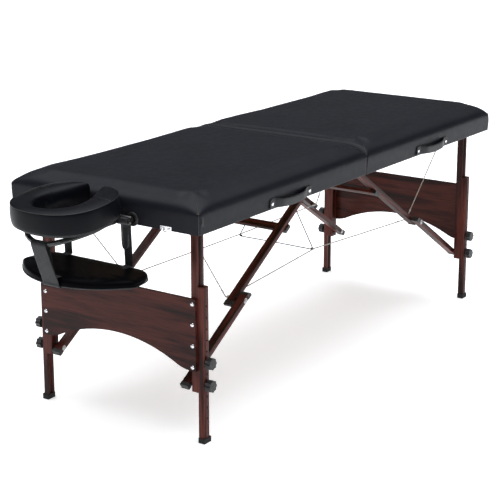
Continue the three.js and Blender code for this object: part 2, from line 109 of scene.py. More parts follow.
# ------------------------------------------------------------------ materials
class Graph:
    """A short way to write a node material around one Principled shader."""

    def __init__(self, name, **constants):
        self.material = bpy.data.materials.new(name)
        self.material.use_nodes = True
        self.nodes = self.material.node_tree.nodes
        self.links = self.material.node_tree.links
        self.shader = self.nodes["Principled BSDF"]
        self.place = self.add("ShaderNodeTexCoord").outputs["Object"]
        for socket, value in constants.items():
            self.shader.inputs[socket.replace("_", " ")].default_value = value

    def add(self, kind, values=(), **settings):
        """A node with its settings, and its input values as pairs of socket and value."""
        node = self.nodes.new(kind)
        for key, value in settings.items():
            setattr(node, key, value)
        for socket, value in values:
            node.inputs[socket].default_value = value
        return node

    def feed(self, source, node, socket):
        self.links.new(source, node.inputs[socket])

    def mapped(self, scale, rotation=(0, 0, 0)):
        turn = self.add("ShaderNodeMapping", [("Rotation", rotation)])
        self.feed(self.place, turn, "Vector")
        stretch = self.add("ShaderNodeMapping", [("Scale", scale)])
        self.feed(turn.outputs[0], stretch, "Vector")
        return stretch.outputs[0]

    def noise(self, vector, scale, detail=3, roughness=0.5, distortion=0.0):
        node = self.add("ShaderNodeTexNoise", [("Scale", scale), ("Detail", detail),
                                               ("Roughness", roughness), ("Distortion", distortion)])
        self.feed(vector, node, "Vector")
        return node.outputs["Fac"]

    def wave(self, vector, scale, distortion, direction="DIAGONAL", more=()):
        node = self.add("ShaderNodeTexWave", [("Scale", scale), ("Distortion", distortion), *more],
                        wave_type="BANDS", bands_direction=direction)
        self.feed(vector, node, "Vector")
        return node.outputs["Color"]

    def ramp(self, source, *stops):
        node = self.add("ShaderNodeValToRGB")
        elements = node.color_ramp.elements
        while len(elements) < len(stops):
            elements.new(0.5)
        for element, (position, colour) in zip(elements, stops):
            element.position = position
            element.color = (*colour, 1) if len(colour) == 3 else colour
        self.feed(source, node, "Fac")
        return node.outputs["Color"]

    def spread(self, source, low, high, start=0.3, end=0.7):
        node = self.add("ShaderNodeMapRange", [("From Min", start), ("From Max", end),
                                               ("To Min", low), ("To Max", high)])
        self.feed(source, node, "Value")
        return node.outputs["Result"]

    def mix(self, factor, a, b, blend="MIX"):
        node = self.add("ShaderNodeMix", data_type="RGBA", blend_type=blend)
        if isinstance(factor, float):
            node.inputs["Factor"].default_value = factor
        else:
            self.feed(factor, node, "Factor")
        self.feed(a, node, "A")
        self.feed(b, node, "B")
        return node.outputs["Result"]

    def bump(self, source, strength, distance, under=None):
        node = self.add("ShaderNodeBump", [("Strength", strength), ("Distance", distance)])
        self.feed(source, node, "Height")
        if under:
            self.feed(under, node, "Normal")
        return node.outputs["Normal"]

    def colour(self, source):
        self.feed(source, self.shader, "Base Color")

    def rough(self, source):
        self.feed(source, self.shader, "Roughness")

    def normal(self, source):
        self.feed(source, self.shader, "Normal")


def grey(value, tint=(1, 1, 1)):
    return tuple(value * t for t in tint)


def vinyl(name, dark, light, roughness, specular=0.42):
    """Upholstery vinyl: fine pebble grain, broad soft unevenness and faint handling marks."""
    g = Graph(name, Specular_IOR_Level=specular)
    broad = g.noise(g.place, 7, 4, 0.55)
    g.colour(g.ramp(broad, (0.3, dark), (0.72, light)))
    smudge = g.noise(g.place, 38, 5, 0.6)
    g.rough(g.spread(smudge, roughness - 0.035, roughness + 0.045))
    pebble = g.add("ShaderNodeTexVoronoi", [("Scale", 620)], feature="SMOOTH_F1")
    g.feed(g.place, pebble, "Vector")
    soft = g.bump(g.noise(g.place, 26, 3, 0.5), 0.25, 0.0006)
    g.normal(g.bump(pebble.outputs["Distance"], 0.22, 0.00025, soft))
    return g.material


def webbing(name, dark, light, roughness=0.62):
    """Woven strap: warp and weft ribs about a millimetre apart."""
    g = Graph(name, Specular_IOR_Level=0.3, Sheen_Weight=0.12, Sheen_Roughness=0.5)
    warp, weft = (g.wave(g.mapped(axis), 190, 0.6) for axis in ((1, 0, 1), (0, 1, 1)))
    weave = g.mix(0.5, warp, weft, "OVERLAY")
    g.colour(g.ramp(weave, (0.2, dark), (0.85, light)))
    g.rough(g.spread(g.noise(g.place, 60, 3), roughness - 0.06, roughness + 0.06))
    g.normal(g.bump(weave, 0.35, 0.0003))
    return g.material


def wood(name, along, tone=1.0, figure=1.0):
    """Dark stained, satin varnished wood with its grain along a direction."""
    g = Graph(name, Coat_Weight=0.05, Coat_Roughness=0.2, Specular_IOR_Level=0.13)
    turn = Vector(along).normalized().rotation_difference(Vector((0, 0, 1))).to_euler()
    fibre = g.mapped((1, 1, 0.045), turn)
    warp = g.noise(g.mapped((1, 1, 0.16), turn), 9, 3, 0.55, 0.5)
    rings = g.wave(g.mapped((1, 1, 0.11), turn), 13 * figure, 9, "X",
                   [("Detail", 3), ("Detail Scale", 1.6)])
    streaks = g.noise(fibre, 150, 4, 0.65)
    low = grey(0.0125 * tone, (1.5, 0.36, 0.26))
    mid = grey(0.031 * tone, (1.9, 0.42, 0.29))
    high = grey(0.066 * tone, (1.9, 0.45, 0.32))
    base = g.ramp(g.mix(0.5, rings, streaks), (0.22, low), (0.5, mid), (0.84, high))
    shade = g.ramp(warp, (0.3, grey(0.62)), (0.7, grey(1.0)))
    tinted = g.mix(0.75, base, shade, "MULTIPLY")
    pores = g.ramp(g.noise(g.mapped((1, 1, 0.03), turn), 420, 2, 0.5),
                   (0.34, grey(0.35)), (0.46, grey(1.0)))
    g.colour(g.mix(0.8, tinted, pores, "MULTIPLY"))
    g.rough(g.spread(streaks, 0.36, 0.5))
    g.normal(g.bump(streaks, 0.12, 0.0002))
    return g.material


def plywood(name):
    g = Graph(name, Specular_IOR_Level=0.3)
    streaks = g.noise(g.mapped((0.05, 1, 1)), 90, 4, 0.6)
    g.colour(g.ramp(streaks, (0.25, (0.2, 0.115, 0.055)), (0.75, (0.38, 0.25, 0.14))))
    g.rough(g.spread(streaks, 0.6, 0.78))
    g.normal(g.bump(streaks, 0.2, 0.0003))
    return g.material


def moulded(name, value, roughness, specular=0.45, grain=900, depth=0.00015):
    """Plastic or rubber with a fine spark-eroded texture."""
    g = Graph(name, Specular_IOR_Level=specular)
    g.colour(g.ramp(g.noise(g.place, 40, 3), (0.3, grey(value * 0.8)), (0.7, grey(value * 1.25))))
    g.rough(g.spread(g.noise(g.place, 90, 3), roughness - 0.06, roughness + 0.06))
    g.normal(g.bump(g.noise(g.place, grain, 2), 0.25, depth))
    return g.material


def metal(name, colour, roughness, brushed=0.0):
    g = Graph(name, Metallic=1.0)
    marks = g.noise(g.mapped((1, 1, 0.06) if brushed else (1, 1, 1)), 240, 3)
    g.colour(g.ramp(g.noise(g.place, 30, 3), (0.3, grey(0.88, colour)), (0.7, colour)))
    g.rough(g.spread(marks, roughness, roughness + 0.1 + brushed))
    g.normal(g.bump(marks, 0.05 + brushed, 0.0001))
    return g.material


def enamel(name, value, roughness):
    g = Graph(name, Specular_IOR_Level=0.5, Coat_Weight=0.25, Coat_Roughness=0.15)
    g.colour(g.ramp(g.noise(g.place, 25, 3), (0.3, grey(value * 0.8)), (0.7, grey(value * 1.2))))
    g.rough(g.spread(g.noise(g.place, 130, 4), roughness - 0.05, roughness + 0.07))
    g.normal(g.bump(g.noise(g.place, 500, 2), 0.08, 0.0002))
    return g.material


def braid(name, dark, light, scale, roughness):
    """Twisted or braided cord."""
    g = Graph(name, Specular_IOR_Level=0.35)
    twist = g.wave(g.place, scale, 0.8)
    g.colour(g.ramp(twist, (0.25, dark), (0.7, light)))
    g.rough(g.spread(g.noise(g.place, 120, 3), roughness - 0.07, roughness + 0.07))
    g.normal(g.bump(twist, 0.5, 0.0004))
    return g.material


TOP_VINYL = vinyl("top_vinyl", (0.0075, 0.0078, 0.0108), (0.0098, 0.0102, 0.014), 0.42, 0.13)
# The cradle vinyl is a darker copy of the top vinyl: painted shade in its colour.
CRADLE_VINYL_PAINTED_SHADE = vinyl("cradle_vinyl_painted_shade", (0.0026, 0.0028, 0.0042), (0.004, 0.0043, 0.0062), 0.36, 0.09)
# The shelf vinyl is a much darker copy of the top vinyl, with almost no specular: painted shade in its
# colour.
SHELF_VINYL_PAINTED_SHADE = vinyl("shelf_vinyl_painted_shade", (0.0012, 0.0012, 0.0017), (0.002, 0.0021, 0.0028), 0.36, 0.02)
SEAM_VINYL = vinyl("seam_vinyl", (0.004, 0.0042, 0.0055), (0.007, 0.0073, 0.0095), 0.34)
STRAP = webbing("strap_webbing", (0.0045, 0.0045, 0.005), (0.013, 0.013, 0.0145))
HANDLE_VINYL = vinyl("handle_vinyl", (0.0045, 0.0047, 0.006), (0.0075, 0.0078, 0.0098), 0.42, 0.36)
THREAD = braid("thread", (0.035, 0.035, 0.038), (0.075, 0.075, 0.08), 900, 0.6)
UPRIGHT_WOOD = wood("upright_wood", (0, 0, 1), 1.1)
BOARD_WOOD = wood("board_wood", (0, 1, 0), 0.8, 0.7)
RAIL_WOOD = wood("rail_wood", (1, 0, 0), 0.9)
CROSS_WOOD = wood("cross_wood", (0, 1, 0), 1.0)
RAISED = math.sin(BRACE_ANGLE)
LEVEL = math.cos(BRACE_ANGLE)
STRUT_WOOD = {
    "head": wood("head_strut_wood", (LEVEL, 0, RAISED), 1.15),
    "foot": wood("foot_strut_wood", (-LEVEL, 0, RAISED), 1.15),
}
PLYWOOD = plywood("birch_plywood")
KNOB_PLASTIC = moulded("knob_plastic", 0.011, 0.46)
CAP_PLASTIC = moulded("cap_plastic", 0.014, 0.5)
PLATFORM_PLASTIC = moulded("platform_plastic", 0.01, 0.55)
RUBBER = moulded("foot_rubber", 0.016, 0.78, 0.25, 600, 0.0003)
CHROME = metal("chrome_plate", (0.82, 0.82, 0.84), 0.09)
STEEL = metal("zinc_steel", (0.5, 0.5, 0.51), 0.24, 0.12)
BLACK_STEEL = enamel("black_enamel", 0.011, 0.3)
CORD = braid("coated_cord", (0.3, 0.28, 0.25), (0.62, 0.59, 0.54), 420, 0.5)
ELASTIC = braid("elastic_braid", (0.006, 0.009, 0.008), (0.022, 0.027, 0.025), 500, 0.6)
FERRULE = moulded("ferrule_nylon", 0.55, 0.4)


# ------------------------------------------------------------------ CAD nodes that stay
def edge_round(node, width, angle=34):
    """Soft edges on a CAD node, by modifiers only."""
    for polygon in node.data.polygons:
        polygon.use_smooth = True
    weld = node.modifiers.new("weld", "WELD")
    weld.merge_threshold = 0.00002
    bevel = node.modifiers.new("soft_edges", "BEVEL")
    bevel.width = width * MM
    bevel.segments = 2
    bevel.limit_method = "ANGLE"
    bevel.angle_limit = math.radians(angle)
    bevel.use_clamp_overlap = True
    node.modifiers.new("normals", "WEIGHTED_NORMAL").weight = 90


def node_finish(name):
    """(material, edge radius in millimetres) of a CAD node."""
    end = name.split("_")[0]
    rules = (
        ("cushion", TOP_VINYL, 0), ("arm_shelf", SHELF_VINYL_PAINTED_SHADE, 0), ("handle", HANDLE_VINYL, 0),
        ("shelf_strap", STRAP, 0), ("deck", PLYWOOD, 0), ("end_board", BOARD_WOOD, 1.1),
        ("frame", RAIL_WOOD, 0.8), ("strut_mount", CROSS_WOOD, 1.2), ("crossbar", CROSS_WOOD, 1.5),
        ("upper_leg", UPRIGHT_WOOD, 1.2), ("lower_leg", UPRIGHT_WOOD, 0.8),
        ("knob", KNOB_PLASTIC, 0.9), ("platform", PLATFORM_PLASTIC, 1), ("foot_cap", RUBBER, 1.1),
        ("cord", CORD, 0), ("loop", ELASTIC, 0), ("latch", CHROME, 0.6), ("bracket", BLACK_STEEL, 1),
        ("hanger", BLACK_STEEL, 0), ("pin", STEEL, 0), ("leaf", STEEL, 0.2), ("axle", STEEL, 0.5),
    )
    if "strut" in name and "mount" not in name:
        return STRUT_WOOD[end], 1.4
    return next((finish, width) for word, finish, width in rules if word in name)


for node_name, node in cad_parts.items():
    finish, width = node_finish(node_name)
    node.data.materials.clear()
    node.data.materials.append(finish)
    if width:
        edge_round(node, width)
    else:
        for face in node.data.polygons:
            face.use_smooth = True
        node.data.set_sharp_from_angle(angle=math.radians(40))


# ------------------------------------------------------------------ mesh helpers
def piece(name, shell, finish, body, sharp=35, bevel=0.0):
    """Makes a shell into a mesh object in the row frame that rides on a CAD body."""
    mesh = bpy.data.meshes.new(name)
    mesh.from_pydata([tuple(v) for v in shell.vertices], [], shell.faces)
    work = bmesh.new()
    work.from_mesh(mesh)
    bmesh.ops.remove_doubles(work, verts=work.verts, dist=0.000005)
    bmesh.ops.recalc_face_normals(work, faces=work.faces)
    work.to_mesh(mesh)
    work.free()
    mesh.shade_smooth()
    mesh.materials.append(finish)
    thing = bpy.data.objects.new(name, mesh)
    scene.collection.objects.link(thing)
    if bevel:
        edge_round(thing, bevel)
    else:
        mesh.set_sharp_from_angle(angle=math.radians(sharp))
    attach(thing, body)
    return thing


class Shell:
    """Vertices and faces gathered from several closed forms into one mesh."""

    def __init__(self):
        self.vertices = []
        self.faces = []

    def add(self, vertices, faces):
        base = len(self.vertices)
        self.vertices += [Vector(v) for v in vertices]
        self.faces += [tuple(base + i for i in face) for face in faces]
        return self

    def rings(self, rings, closed=False, caps=True):
        """Quads between rings of equal length, with flat caps."""
        count = len(rings[0])
        vertices = [v for ring in rings for v in ring]
        faces = []
        last = len(rings) if closed else len(rings) - 1
        for i in range(last):
            j = (i + 1) % len(rings)
            for k in range(count):
                m = (k + 1) % count
                faces.append((i * count + k, i * count + m, j * count + m, j * count + k))
        if caps and not closed:
            faces.append(tuple(range(count)))
            faces.append(tuple(range((len(rings) - 1) * count, len(rings) * count)))
        return self.add(vertices, faces)

    def lathe(self, centre, axis, profile, segments=20):
        """A turned form. The profile is (distance along the axis, radius), in millimetres."""
        axis = Vector(axis).normalized()
        side = axis.orthogonal().normalized()
        other = axis.cross(side)
        rings = []
        for distance, radius in profile:
            middle = centre + axis * distance * MM
            rings.append([
                middle + (side * math.cos(a) + other * math.sin(a)) * max(radius, 0.02) * MM
                for a in (2 * math.pi * i / segments for i in range(segments))
            ])
        return self.rings(rings)

    def tube(self, points, radius, sides=10, closed=False):
        """A round tube along points in metres; the radius is millimetres or one value per point."""
        sizes = radius if isinstance(radius, (list, tuple)) else [radius] * len(points)
        count = len(points)
        normal = None
        rings = []
        for i, point in enumerate(points):
            before = points[(i - 1) % count] if closed or i else point
            after = points[(i + 1) % count] if closed or i < count - 1 else point
            along = (after - before).normalized()
            if normal is None:
                normal = along.orthogonal()
            normal = (normal - along * normal.dot(along)).normalized()
            other = along.cross(normal)
            rings.append([
                point + (normal * math.cos(a) + other * math.sin(a)) * sizes[i] * MM
                for a in (2 * math.pi * k / sides for k in range(sides))
            ])
        return self.rings(rings, closed)

    def ribbon(self, points, across, widths, thickness, sag=0.0):
        """A flat strap along points in metres, as wide as widths says, across a fixed direction."""
        across = Vector(across).normalized()
        sizes = widths if isinstance(widths, (list, tuple)) else [widths] * len(points)
        rings = []
        for i, point in enumerate(points):
            along = (points[min(i + 1, len(points) - 1)] - points[max(i - 1, 0)]).normalized()
            up = along.cross(across).normalized()
            half, thick = sizes[i] / 2 * MM, thickness / 2 * MM
            ring = []
            for u, v in ((-1, 0), (-0.97, 0.8), (-0.9, 1), (-0.3, 1), (0.3, 1), (0.9, 1), (0.97, 0.8),
                         (1, 0), (0.97, -0.8), (0.9, -1), (0.3, -1), (-0.3, -1), (-0.9, -1),
                         (-0.97, -0.8)):
                bow = sag * MM * (1 - u * u)
                ring.append(point + across * half * u + up * (thick * v + bow))
            rings.append(ring)
        return self.rings(rings)

    def stitches(self, points, pitch, length, radius):
        """Short thread stitches along a line of points in metres, each laid along the line."""
        total = running_length(points)
        step = pitch * MM
        for i in range(int(total[-1] / step)):
            ends = [along_line(points, total, (i + 0.5) * step + k * length / 2 * MM)
                    for k in (-1, -0.6, 0, 0.6, 1)]
            self.tube(ends, [radius * 0.4, radius, radius, radius, radius * 0.4], 6)
        return self


def running_length(points):
    """The length of a line of points up to each of them."""
    total = [0.0]
    for a, b in zip(points, points[1:]):
        total.append(total[-1] + (b - a).length)
    return total


def along_line(points, total, distance):
    """The point at a distance along a line, given its running lengths."""
    distance = min(max(distance, 0.0), total[-1])
    for i in range(len(points) - 1):
        if distance <= total[i + 1]:
            share = (distance - total[i]) / max(total[i + 1] - total[i], 1e-9)
            return points[i].lerp(points[i + 1], share)
    return points[-1].copy()


def spline(points, steps):
    """Catmull-Rom points through the given ones, steps to each span."""
    padded = [points[0] * 2 - points[1], *points, points[-1] * 2 - points[-2]]
    out = []
    for i in range(1, len(padded) - 2):
        a, b, c, d = padded[i - 1:i + 3]
        for k in range(steps):
            t = k / steps
            out.append(0.5 * (b * 2 + (c - a) * t + (a * 2 - b * 5 + c * 4 - d) * t * t
                              + (b * 3 - a - c * 3 + d) * t ** 3))
    out.append(points[-1].copy())
    return out


def inflate(thing, pressure, cap, pinned, frames=20, stiffness=15):
    """Cloth simulation with inner pressure. A point moves only along its normal, outwards up to cap."""
    rest = [(v.co.copy(), v.normal.copy()) for v in thing.data.vertices]
    group = thing.vertex_groups.new(name="pinned")
    for index, weight in enumerate(pinned):
        if weight > 0:
            group.add([index], weight, "REPLACE")
    cloth = thing.modifiers.new("cloth", "CLOTH")
    settings = cloth.settings
    settings.use_pressure = True
    settings.uniform_pressure_force = pressure
    settings.effector_weights.gravity = 0
    settings.vertex_group_mass = "pinned"
    settings.tension_stiffness = stiffness
    settings.compression_stiffness = stiffness
    settings.quality = 5
    cloth.point_cache.frame_end = frames
    for number in range(1, frames + 1):
        scene.frame_set(number)
    solved = thing.evaluated_get(bpy.context.evaluated_depsgraph_get()).to_mesh()
    moved = [v.co.copy() for v in solved.vertices]
    thing.modifiers.remove(cloth)
    thing.vertex_groups.remove(group)
    scene.frame_set(1)
    for vertex, (start, normal), goal in zip(thing.data.vertices, rest, moved):
        rise = (goal - start).dot(normal)
        vertex.co = start + normal * min(max(rise, -0.4 * MM), cap * MM)
    thing.data.update()


def subdivide(thing, levels=1):
    modifier = thing.modifiers.new("subdivision", "SUBSURF")
    modifier.levels = levels
    modifier.render_levels = levels


def displace(thing, amount):
    """Moves each point along its normal by amount(point) millimetres."""
    normals = [v.normal.copy() for v in thing.data.vertices]
    for vertex, normal in zip(thing.data.vertices, normals):
        vertex.co += normal * amount(vertex.co) * MM
    thing.data.update()


# ------------------------------------------------------------------ covers of the two halves
SIDE_ROUND = (88, 38)
SWELL = 4.0
SIDE_BULGE = 3.0
END_BULGE = 1.6
END_REACH = HALF + 1.4
JOINT_GAP = 0.15


def graded(low, high, low_edge, high_edge, spacing):
    """Coordinates from low to high, closer together in the rounded edges."""
    fine = (0, 0.06, 0.14, 0.24, 0.36, 0.5, 0.66, 0.83)
    values = [low + low_edge * f for f in fine]
    inner_low, inner_high = low + low_edge, high - high_edge
    count = max(2, round((inner_high - inner_low) / spacing))
    values += [inner_low + (inner_high - inner_low) * i / count for i in range(count + 1)]
    values += [high - high_edge * f for f in reversed(fine)]
    return values


def fall(value, low, high, low_edge, high_edge):
    """Share of the full drop at a coordinate: 0 on the flat, 1 at the wall."""
    if value < low + low_edge:
        q = (low + low_edge - value) / low_edge
    elif value > high - high_edge:
        q = (value - high + high_edge) / high_edge
    else:
        return 0.0
    return 1 - math.sqrt(max(0.0, 1 - q * q))


def plan_corner(x, y, box, radius):
    """Rounds the plan corners of a rectangle by a radius."""
    (x0, x1), (y0, y1) = box
    cx = min(max(x, x0 + radius), x1 - radius)
    cy = min(max(y, y0 + radius), y1 - radius)
    dx, dy = x - cx, y - cy
    length = math.hypot(dx, dy)
    if length < 1e-9:
        return x, y
    share = max(abs(dx), abs(dy)) / length
    return cx + dx * share, cy + dy * share


def cover(name, end):
    """The vinyl of one half: padded top, walls down over the rails, and a hem turned under them."""
    x0, x1 = (-END_REACH, -JOINT_GAP) if end < 0 else (JOINT_GAP, END_REACH)
    outer_edge = 84 if end < 0 else 58
    low_edge, high_edge = (outer_edge, 24) if end < 0 else (24, outer_edge)
    y0, y1 = -HALF_WIDTH, HALF_WIDTH
    side, height = SIDE_ROUND
    full = TOP - SWELL
    xs = graded(x0, x1, low_edge, high_edge, 13)
    ys = graded(y0, y1, side, side, 13)
    wall = [full - height, 712, 703, 693, 682, 671, PANEL_BOTTOM + 3, PANEL_BOTTOM - 0.4]
    end_bulges = (END_BULGE, 0.0) if end < 0 else (0.0, END_BULGE * 2)

    def top_point(x, y):
        drop_x = fall(x, x0, x1, low_edge, high_edge)
        drop_y = fall(y, y0, y1, side, side)
        z = full - height * (1 - (1 - drop_x) * (1 - drop_y))
        return x, y, z

    def place(x, y, z):
        share = min(max((z - 690) / 60, 0), 1)
        boxy = 4.5 + 6 * share
        outside = (x - x0 < 60) if end < 0 else (x1 - x < 60)
        radius = 4.5 + 26 * share if end > 0 and outside else boxy
        px, py = plan_corner(x, y, ((x0, x1), (y0, y1)), radius)
        rise = min(max((z - PANEL_BOTTOM - 4) / 50, 0), 1)
        push = rise * rise * (3 - 2 * rise)
        py -= SIDE_BULGE * push * max(0, (y0 + side - y) / side) ** 2
        py += SIDE_BULGE * push * max(0, (y - y1 + side) / side) ** 2
        px -= end_bulges[0] * push * max(0, (x0 + low_edge - x) / low_edge) ** 2
        px += end_bulges[1] * push * max(0, (x - x1 + high_edge) / high_edge) ** 2
        return at(px, py, z)

    shell = Shell()
    grid = [[place(*top_point(x, y)) for y in ys] for x in xs]
    columns = len(ys)
    faces = []
    for i in range(len(xs) - 1):
        for j in range(columns - 1):
            a = i * columns + j
            faces.append((a, a + columns, a + columns + 1, a + 1))
    shell.add([v for row in grid for v in row], faces)
    rim = ([(x, y0) for x in xs] + [(x1, y) for y in ys[1:]] + [(x, y1) for x in reversed(xs[:-1])]
           + [(x0, y) for y in reversed(ys[1:-1])])
    rings = [[place(x, y, z) for x, y in rim] for z in wall]
    hem = []
    for x, y in rim:
        tuck = 9
        hx = min(max(x, x0 + tuck), x1 - tuck)
        hy = min(max(y, y0 + tuck), y1 - tuck)
        hem.append(at(hx, hy, PANEL_BOTTOM - 0.4))
    shell.rings([*rings, hem], caps=False)
    thing = piece(name, shell, TOP_VINYL, f"{name.split('_')[0]}_panel",
                  80)
    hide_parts(f"{name.split('_')[0]}_cushion")
    edge_z = (full - height - 2) * MM
    joint_x = at(0, 0, 0).x
    pins = [float(v.co.z < edge_z or abs(v.co.x - joint_x) < 0.003) for v in thing.data.vertices]
    inflate(thing, 3.5, SWELL + 2, pins)
    foam = Vector((end * 3.1, 1.7, 0.4))

    def uneven(p):
        """Foam unevenness, none beside the deck or at the joint, where the cover lies close."""
        above_deck = min(max((p.z - 0.73) / 0.02, 0), 1)
        off_joint = min(max((abs(p.x - joint_x) - 0.004) / 0.03, 0), 1)
        broad = noise.noise(p * 6 + foam) * 0.9
        return above_deck * off_joint * (broad + noise.noise(p * 19 + foam) * 0.28)

    displace(thing, uneven)
    return thing


COVERS = {}
for end_name, end in ENDS:
    COVERS[end_name] = cover(f"{end_name}_cover", end)


def surface_tree(thing):
    mesh = thing.data
    return BVHTree.FromPolygons([v.co for v in mesh.vertices], [p.vertices for p in mesh.polygons])


def corner_seam(name, end, x, y, tree):
    """The sewn seam up a boxy corner of a cover, found by rays at the corner."""
    middle = 0.5 * end * HALF
    out_x = 1 if x > middle else -1
    out_y = 1 if y > 0 else -1
    outward = Vector((out_x, out_y, 0)).normalized()
    anchor = at(x - out_x * 60, y - out_y * 60, 690)
    line = []
    for z in (660, 666, 674, 682, 690):
        start = at(x, y, z) + outward * 0.05
        hit = tree.ray_cast(start, -outward)[0]
        if hit:
            line.append(hit)
    for i in range(1, 12):
        tilt = math.radians(i * 6.2)
        direction = outward * math.cos(tilt) + Vector((0, 0, math.sin(tilt)))
        hit = tree.ray_cast(anchor + direction * 0.4, -direction)[0]
        if hit:
            line.append(hit)
    line = [p + outward * 0.0002 for p in line]
    fine = spline(line, 4)
    thick = [1.15 * min(1.0, 0.25 + (len(fine) - 1 - i) / 10) for i in range(len(fine))]
    shell = Shell().tube(fine, thick, 8)
    return piece(name, shell, SEAM_VINYL, f"{name.split('_')[0]}_panel",
                 60)


for end_name, end in ENDS:
    tree = surface_tree(COVERS[end_name])
    for side_name, side in SIDES:
        corner_seam(f"{end_name}_{side_name}_joint_seam", end, end * 0.35, side * HALF_WIDTH, tree)
        if end < 0:
            corner_seam(f"{end_name}_{side_name}_end_seam", end, end * END_REACH,
                        side * HALF_WIDTH, tree)
for thing in COVERS.values():
    subdivide(thing)
    walls = thing.modifiers.new("vinyl_thickness", "SOLIDIFY")
    walls.thickness = 1.1 * MM
    walls.offset = -1

# ------------------------------------------------------------------ face cradle
PIVOT_X, ROD_Z = -962, 674
CRADLE_TILT = math.radians(-5)
RING_CENTRE = -115


def cradle_at(x, y, z):
    """A point of the tilted cradle, laid out from its pivot."""
    return at(PIVOT_X + x * math.cos(CRADLE_TILT) + z * math.sin(CRADLE_TILT), y,
              ROD_Z - x * math.sin(CRADLE_TILT) + z * math.cos(CRADLE_TILT))


def resample(points, count):
    total = running_length(points)
    return [along_line(points, total, total[-1] * i / (count - 1)) for i in range(count)]


def horseshoe_line(half_length, half_width, power, throat, count):
    """One edge of the horseshoe, from one side of the throat round to the other."""
    start = math.asin((throat / half_width) ** (power / 2))
    points = []
    for i in range(201):
        angle = start + (2 * math.pi - 2 * start) * i / 200
        c, v = math.cos(angle), math.sin(angle)
        points.append(Vector((
            RING_CENTRE + half_length * math.copysign(abs(c) ** (2 / power), c),
            half_width * math.copysign(abs(v) ** (2 / power), v), 0)))
    return resample(points, count)


CUSHION_SECTION = (
    (0.05, 25.4), (0.25, 25.2), (0.5, 25.2), (0.75, 25.2), (0.95, 25.4), (0.99, 27.5), (1.02, 34),
    (1.035, 43), (1.04, 53), (1.037, 63), (1.027, 73), (1.012, 81), (0.998, 85.5), (0.978, 87.4),
    (0.94, 89), (0.85, 90.8), (0.72, 92), (0.58, 92.8), (0.44, 93.2), (0.3, 93), (0.18, 91.8),
    (0.09, 89.2), (0.03, 84.5), (0.0, 76.5), (-0.01, 65), (-0.01, 52), (0.0, 38), (0.02, 28.5),
)
SEAM_AT = (5, 13)
INNER_RIM = 24
CROSS_SEAM = 13


def opening_line(count):
    """The inner edge: a half ellipse, and straight sides that close in towards the throat."""
    middle, half_length, half_width, side_start = -127, 88, 73, math.radians(65)
    points = [Vector((16, 26.5, 0))]
    for i in range(81):
        angle = side_start + 2 * (math.pi - side_start) * i / 80
        points.append(Vector((middle + half_length * math.cos(angle), half_width * math.sin(angle), 0)))
    points.append(Vector((16, -26.5, 0)))
    return resample(points, count)


def face_cushion():
    count = 66
    outer = horseshoe_line(144, 148, 2.4, 26, count)
    inner = opening_line(count)
    rings = []
    for i in range(count):
        ends = min(i, count - 1 - i)
        tip = (0.8, 0.91, 0.96, 0.99)[ends] if ends < 4 else 1.0
        middle = (outer[i] + inner[i]) / 2
        room = min(max((middle.x + 10) / -40, 0), 1)
        ring = []
        for u, z in CUSHION_SECTION:
            beyond = max(0.0, u - 0.97) * (1 - room)
            flat = inner[i].lerp(outer[i], u - beyond)
            flat = middle.lerp(flat, 0.5 + tip / 2)
            ring.append(cradle_at(flat.x, flat.y, 58 + (z - 58) * tip))
        rings.append(ring)
    shell = Shell().rings(rings)
    thing = piece("face_cradle_cushion", shell, CRADLE_VINYL_PAINTED_SHADE, "face_cradle",
                  80)
    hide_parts("face_cushion")
    steps = len(CUSHION_SECTION)
    pins = [0.0] * len(thing.data.vertices)
    for i, vertex in enumerate(thing.data.vertices):
        if i % steps in SEAM_AT or i % steps < 5:
            pins[i] = 1.0
    inflate(thing, 5, 3.5, pins)
    place = Vector((3.3, 8.1, 0.2))
    hole = at(PIVOT_X + RING_CENTRE, 0, 0)

    def creases(p):
        """Gathers in the vinyl on the wall of the opening, fading upwards."""
        away = Vector((p.x - hole.x, p.y - hole.y, 0))
        near = min(max((0.088 - away.length) / 0.012, 0), 1) * min(max((0.748 - p.z) / 0.02, 0), 1)
        turn = math.atan2(away.y, away.x)
        folds = noise.noise(Vector((turn * 5.5, p.z * 16, 0)) + place)
        folds += 0.5 * noise.noise(Vector((turn * 12, p.z * 30, 4)) + place)
        return near * folds * 3.0 + noise.noise(p * 22 + place) * 0.5

    displace(thing, creases)
    rows = [[v.co.copy() for v in thing.data.vertices[i * steps:(i + 1) * steps]] for i in range(count)]
    seam = [row[SEAM_AT[1]] for row in rows[1:-1]]
    subdivide(thing, 2)
    piping = Shell()
    rim = spline(seam, 3)
    piping.tube([p + Vector((0, 0, 0.0002)) for p in rim],
                [1.25 * min(1, 0.2 + min(i, len(rim) - 1 - i) / 6) for i in range(len(rim))], 8)
    for row in (rows[CROSS_SEAM], rows[-1 - CROSS_SEAM]):
        line = [p + Vector((0, 0, 0.0001)) for p in spline(row[SEAM_AT[1]:INNER_RIM], 3)]
        piping.tube(line, 0.7, 8)
    piece("face_cradle_piping", piping, SEAM_VINYL, "face_cradle", 60)


face_cushion()

# ------------------------------------------------------------------ arm shelf and its straps
SHELF_TOP = 535
SHELF_BACK = -936
SHELF_FRONT = -1150
SHELF_RADIUS = 261
SHELF_TIP_Y = 200
SHELF_PROFILE = (
    (0.02, 510), (0.3, 509.6), (0.6, 509.4), (0.84, 509.4), (0.95, 509.6), (0.98, 511), (0.994, 514.5),
    (0.998, 519.5), (0.992, 525), (0.978, 529.4), (0.95, 532.4), (0.9, 534.2), (0.8, 535.2), (0.62, 535.8),
    (0.42, 536), (0.2, 536), (0.02, 536),
)


def bend(start, control, end, steps=10):
    """A quadratic curve between two points, without its first point."""
    a, b, c = Vector(start), Vector(control), Vector(end)
    shares = [k / steps for k in range(1, steps + 1)]
    return [a * (1 - t) ** 2 + b * 2 * t * (1 - t) + c * t * t for t in shares]


